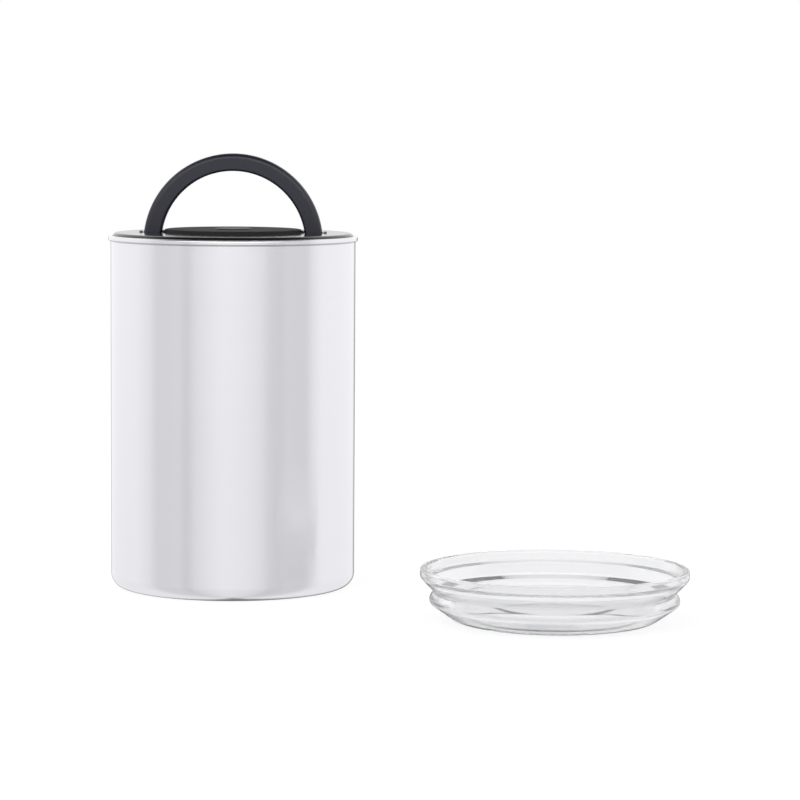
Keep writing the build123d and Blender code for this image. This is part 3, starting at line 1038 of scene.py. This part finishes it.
@dataclass
class FoldingHandle:
    """Half-ring handle with rounded edges, round eyes and the cam on its left eye."""

    width: float = 8.9
    depth: float = 9.0
    outer_edge: float = 2.6
    outer_segments: int = 8
    inner_edge: float = 1.3
    inner_segments: int = 6
    hub_radius: float = 3.2
    hub_in: float = 0.5
    pin_bore: float = 1.65
    cam_radius: float = 4.2
    cam_shift: float = 0.8
    cam_width: float = 5.2
    heel: float = 2.65
    eye_steps: int = 32

    def __post_init__(self) -> None:
        """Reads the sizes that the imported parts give."""
        self.pivot = joint_height("handle_fold")
        _, high = extent("handle")
        self.outer = high.z - self.pivot
        self.hub_out = high.x - self.outer
        self.bore = self.outer - self.width

    def section(self, shape: Shape, whole: bool) -> list:
        """Lays the rounded section of the right leg in the plane of the pivot.

        Args:
            shape: Where the wire goes.
            whole: Whether it goes all round, or only round the back half.

        Returns:
            The points and edges of the wire.
        """
        half = self.depth / 2
        corners = [
            Corner(self.outer, 0),
            Corner(self.outer, half, self.outer_edge, self.outer_segments),
            Corner(self.bore, half, self.inner_edge, self.inner_segments),
            Corner(self.bore, 0),
        ]
        if whole:
            corners += [
                Corner(self.bore, -half, self.inner_edge, self.inner_segments),
                Corner(self.outer, -half, self.outer_edge, self.outer_segments),
            ]
        wire = shape.outline(corners, whole)
        flat = Matrix.Rotation(-math.pi / 2, 4, "X")
        bmesh.ops.transform(shape.mesh, matrix=flat, verts=shape.mesh.verts[:])
        bmesh.ops.scale(shape.mesh, vec=(1, -1, 1), verts=shape.mesh.verts[:])
        shape.move(Vector((0, 0, self.pivot)))
        return wire

    def half_turn(self, whole: bool, axis: Spot, steps: int) -> Shape:
        """Spins the section by half a turn about a line through the pivot.

        Args:
            whole: Whether the section goes all round.
            axis: Direction of the line.
            steps: Steps of the turn.

        Returns:
            The open skin.
        """
        shape = Shape()
        wire = self.section(shape, whole)
        bmesh.ops.spin(
            shape.mesh, geom=wire, cent=(0, 0, self.pivot), axis=axis, angle=math.pi,
            steps=steps, use_merge=False,
        )
        return shape

    def eye(self, side: Side) -> Shape:
        """Rounds the foot of one leg about the pin.

        Args:
            side: Which leg.

        Returns:
            The open half round that closes the leg.
        """
        shape = self.half_turn(False, (1, 0, 0), self.eye_steps)
        bmesh.ops.scale(shape.mesh, vec=(side, 1, 1), verts=shape.mesh.verts[:])
        return shape

    def body(self) -> Shape:
        """Joins arch and eyes into one closed solid."""
        whole = self.half_turn(True, (0, -1, 0), STEPS // 2)
        for side in Side:
            foot = bpy.data.meshes.new("foot")
            eye = self.eye(side)
            eye.mesh.to_mesh(foot)
            eye.mesh.free()
            whole.mesh.from_mesh(foot)
            bpy.data.meshes.remove(foot)
        whole.weld(SPIN_WELD)
        return whole.close()

    def shape(self) -> Shape:
        """Adds hubs, pin bores and the cam."""
        handle = self.body()
        leg = self.outer - self.width / 2
        eye = self.depth / 2
        back = self.cam_radius - self.cam_shift
        past = eye + OVERRUN
        start = -leg - self.cam_width / 2
        handle.cut(Shape.prism([
            (-past, self.pivot - past),
            (past, self.pivot - past),
            (past, self.pivot + self.heel + past - back),
            (back, self.pivot + self.heel),
            (0, self.pivot + self.heel),
            (0, self.pivot),
            (-past, self.pivot - self.cam_shift),
        ], start, self.cam_width))
        middle = Vector((start - ROOT, -self.cam_shift, self.pivot - self.cam_shift))
        across = Vector((self.cam_width + 2 * ROOT, 0, 0))
        handle.join(Shape.bar(middle, across, self.cam_radius, FINE_STEPS * 2))
        hubs = (
            (self.bore + ROOT, -(self.hub_in + ROOT)),
            (self.outer - ROOT, self.hub_out + ROOT),
        )
        for side in Side:
            for foot, length in hubs:
                middle = Vector((side * foot, 0, self.pivot))
                handle.join(Shape.bar(middle, Vector((side * length, 0, 0)), self.hub_radius))
            hole = Vector((side * (self.bore - OVERRUN), 0, self.pivot))
            through = Vector((side * (self.width + 2 * OVERRUN), 0, 0))
            handle.cut(Shape.bar(hole, through, self.pin_bore))
        return handle

    def build(self) -> None:
        """Builds and dresses the handle."""
        piece = Piece("handle_arch", "handle", Body.HANDLE, Slot.HANDLE)
        piece.settle(self.shape(), HANDLE_PLASTIC.make())


@dataclass
class OuterLid:
    """Clear plug lid: a dished plug, a narrow neck and a flange that slopes out over the rim."""

    wall: float = 2.1
    side: float = 4.4
    edge: float = 1.4
    foot_edge: float = 0.9
    flange_wall: float = 3.1
    plug: float = 61.4
    shoulder: float = 9.6
    shoulder_edge: float = 2.9
    foot_inset: float = 13.5
    foot_edge_out: float = 3.3
    foot_edge_in: float = 2.6
    neck_inset: float = 3.1
    neck_rise: float = 4.6
    ledge_drop: float = 4.1
    ledge_width: float = 1.4
    bowl_edge: float = 2.0
    centre_inset: float = 5.9
    centre_rise: float = 0.8
    centre_slope: float = 1.2
    small_edge: float = 0.5

    def shape(self) -> Shape:
        """Turns the lid and sets it in its place."""
        low, high = extent("clear_lid")
        middle = (low + high) / 2
        flange, top = (high.x - low.x) / 2, high.z
        foot, bore = top - self.side, flange - self.flange_wall
        neck, neck_height = self.plug - self.neck_inset, self.shoulder + self.neck_rise
        plug_foot, bowl = self.plug - self.foot_inset, neck - self.wall
        centre = plug_foot - self.centre_inset
        slope = (foot - neck_height) / (flange - neck)
        cone = math.atan2(self.shoulder, self.foot_inset)
        bowl_foot = plug_foot - self.wall * math.tan(cone / 2)
        bowl_neck = neck_height + self.wall * (math.hypot(1, slope) - slope)
        bowl_top = self.wall + (bowl - bowl_foot) * math.tan(cone)
        ledge, ledge_radius = top - self.ledge_drop, bore - self.ledge_width
        lid = Shape.turned([
            Corner(0, self.centre_rise),
            Corner(centre - self.centre_slope, self.centre_rise, self.small_edge),
            Corner(centre, 0, self.small_edge),
            Corner(plug_foot, 0, self.foot_edge_out, segments=10),
            Corner(self.plug, self.shoulder, self.shoulder_edge, segments=14),
            Corner(neck, neck_height, self.small_edge),
            Corner(flange, foot, self.foot_edge, segments=6),
            Corner(flange, top, self.edge, segments=10),
            Corner(bore, top, self.edge, segments=10),
            Corner(bore, ledge, self.small_edge),
            Corner(ledge_radius, ledge, self.small_edge),
            Corner(ledge_radius, bowl_neck + (ledge_radius - bowl) * slope, self.small_edge),
            Corner(bowl, bowl_neck, 2 * self.small_edge, segments=6),
            Corner(bowl, bowl_top, self.bowl_edge, segments=12),
            Corner(bowl_foot, self.wall, self.foot_edge_in, segments=10),
            Corner(centre, self.wall, self.small_edge),
            Corner(centre - self.centre_slope, self.wall + self.centre_rise, self.small_edge),
            Corner(0, self.wall + self.centre_rise),
        ], closed=False)
        return lid.move(Vector((middle.x, middle.y, 0)))

    def build(self) -> None:
        """Builds and dresses the outer lid."""
        piece = Piece("outer_lid", "clear_lid", Body.CLEAR_LID, Slot.CLEAR)
        piece.settle(self.shape(), ClearPlastic().make())


@dataclass
class Studio:
    """Camera, pale table, soft light and the white room round them, in metres."""

    lens: float = 147.05
    sensor: float = 36.0
    clip: Span = (0.05, 50.0)
    eye: Spot = (0.0856, -1.6689, 0.2497)
    pitch: float = 0.0918
    roll: float = 0.0059
    table_size: float = 12.0
    table_drop: float = 0.0002
    table_colour: Colour = (0.86, 0.86, 0.86, 1.0)
    table_glow: float = 0.75
    table_light: float = 1.12
    ambient: float = 0.72
    horizon: Span = (-0.02, 0.04)
    ceiling: Span = (0.66, 0.86)
    ceiling_light: float = 0.05
    strip_foot: Span = (0.30, 0.38)
    strip_top: Span = (0.52, 0.60)
    strip_front: Span = (0.45, 0.7)
    strip_light: float = 2.4
    through_light: float = 1.0
    through_shade: float = 0.5
    through_rise: Span = (0.25, 0.8)
    low_dim: float = 0.1
    low_fall: Span = (0.03, 0.18)
    lamp_size: float = 1.2
    key_power: float = 14.0
    key_spot: Spot = (-1.0, -1.3, 1.5)
    fill_power: float = 5.0
    fill_spot: Spot = (1.4, -0.7, 0.9)
    aim: Spot = (0.05, -0.03, 0.1)

    def camera(self) -> None:
        """Puts the camera where the photograph was taken."""
        data = bpy.data.cameras.new("camera")
        data.lens, data.sensor_width, data.sensor_fit = self.lens, self.sensor, "HORIZONTAL"
        data.clip_start, data.clip_end = self.clip
        camera = bpy.data.objects.new("camera", data)
        tilt = Matrix.Rotation(math.pi / 2 - self.pitch, 4, "X")
        tilt = tilt @ Matrix.Rotation(self.roll, 4, "Z")
        camera.matrix_world = Matrix.Translation(self.eye) @ tilt
        bpy.context.scene.collection.objects.link(camera)
        bpy.context.scene.camera = camera

    def light(self, name: str, power: float, spot: Spot) -> None:
        """Hangs a soft square lamp that lights diffuse surfaces only.

        Args:
            name: Name of the lamp.
            power: Its power in watts.
            spot: Its place.
        """
        data = bpy.data.lights.new(name, "AREA")
        data.energy, data.size = power, self.lamp_size
        lamp = bpy.data.objects.new(name, data)
        turn = (Vector(self.aim) - Vector(spot)).to_track_quat("-Z", "Y").to_matrix().to_4x4()
        lamp.matrix_world = Matrix.Translation(spot) @ turn
        lamp.visible_glossy = False
        lamp.visible_transmission = False
        bpy.context.scene.collection.objects.link(lamp)

    def table(self) -> None:
        """Lays the pale table, white to the camera but for a soft shadow."""
        paint = Paint(bpy.data.materials.new("pale_table"))
        camera = paint.node("ShaderNodeLightPath", output="Is Camera Ray")
        through = paint.node("ShaderNodeLightPath", output="Is Transmission Ray")
        shown = paint.maths("MAXIMUM", camera, through)
        matt = paint.node("ShaderNodeBsdfDiffuse", sockets={"Color": self.table_colour})
        glow = paint.node(
            "ShaderNodeEmission", sockets={"Color": WHITE, "Strength": self.table_light}
        )
        mixed = paint.node(
            "ShaderNodeMixShader", sockets={0: shown * self.table_glow, 1: matt, 2: glow}
        )
        paint.node("ShaderNodeOutputMaterial", sockets={"Surface": mixed})
        sheet = Shape()
        bmesh.ops.create_grid(sheet.mesh, x_segments=1, y_segments=1, size=self.table_size / 2)
        table = sheet.move(Vector((0, 0, -self.table_drop))).as_object("table")
        table.data.materials.append(paint.owner)
        table.visible_glossy = False

    def room(self) -> None:
        """Makes the room: soft bands round the metal, a dark ceiling, plain light for the rest."""
        world = bpy.data.worlds.new("room")
        bpy.context.scene.world = world
        paint = Paint(world)
        x, y, z = paint.split(paint.node("ShaderNodeTexCoord", output="Generated"))
        azimuth = paint.maths("ARCTAN2", x, 0.0 - y) * (1 / FULL_TURN) + 0.5
        upper = z.between(*self.horizon)
        ceiling = z.between(*self.ceiling)
        dim = 1.0 - self.low_dim * (0.0 - z).between(*self.low_fall)
        low = self.bands(paint, azimuth, LOW_BANDS) * (1.0 - upper) * dim
        bands = low + self.bands(paint, azimuth, HIGH_BANDS) * upper
        strip = z.between(*self.strip_foot) * (1.0 - z.between(*self.strip_top))
        strip = strip * (0.0 - y).between(*self.strip_front) * self.strip_light
        seen = bands * (1.0 - ceiling) + self.ceiling_light * ceiling + strip
        camera = paint.node("ShaderNodeLightPath", output="Is Camera Ray")
        glossy = paint.node("ShaderNodeLightPath", output="Is Glossy Ray")
        through = paint.node("ShaderNodeLightPath", output="Is Transmission Ray")
        inside = self.through_light - self.through_shade * z.between(*self.through_rise)
        plain = self.ambient + camera * (1.0 - self.ambient)
        mirrored = glossy * (1.0 - through)
        strength = plain * (1.0 - mirrored - through) + seen * mirrored + inside * through
        background = paint.node(
            "ShaderNodeBackground", sockets={"Color": WHITE, "Strength": strength}
        )
        paint.node("ShaderNodeOutputWorld", sockets={"Surface": background})

    @staticmethod
    def bands(paint: Paint, azimuth: Wire, stops: Sequence[Span]) -> Wire:
        """Gives the level of bands at an azimuth of 0 to 1, from stops in degrees."""
        places = [(degrees / FULL_DEGREES + 0.5, level) for degrees, level in stops]
        return paint.node("ShaderNodeValToRGB", {"stops": places}, {0: azimuth})

    def build(self) -> None:
        """Builds the studio and sets the plain view."""
        self.camera()
        self.light("key_lamp", self.key_power, self.key_spot)
        self.light("fill_lamp", self.fill_power, self.fill_spot)
        self.table()
        self.room()
        bpy.context.scene.view_settings.view_transform = "Standard"
        log.info("studio is set")


def main() -> None:
    """Builds the studio and every sub-assembly in order."""
    logging.basicConfig(level=logging.INFO, format="%(message)s", stream=sys.stdout)
    for assembly in (Studio(), SteelCan(), InnerLid(), AirValve(), FoldingHandle(), OuterLid()):
        assembly.build()
        log.info("%s is done", type(assembly).__name__)


if __name__ == "__main__":
    main()
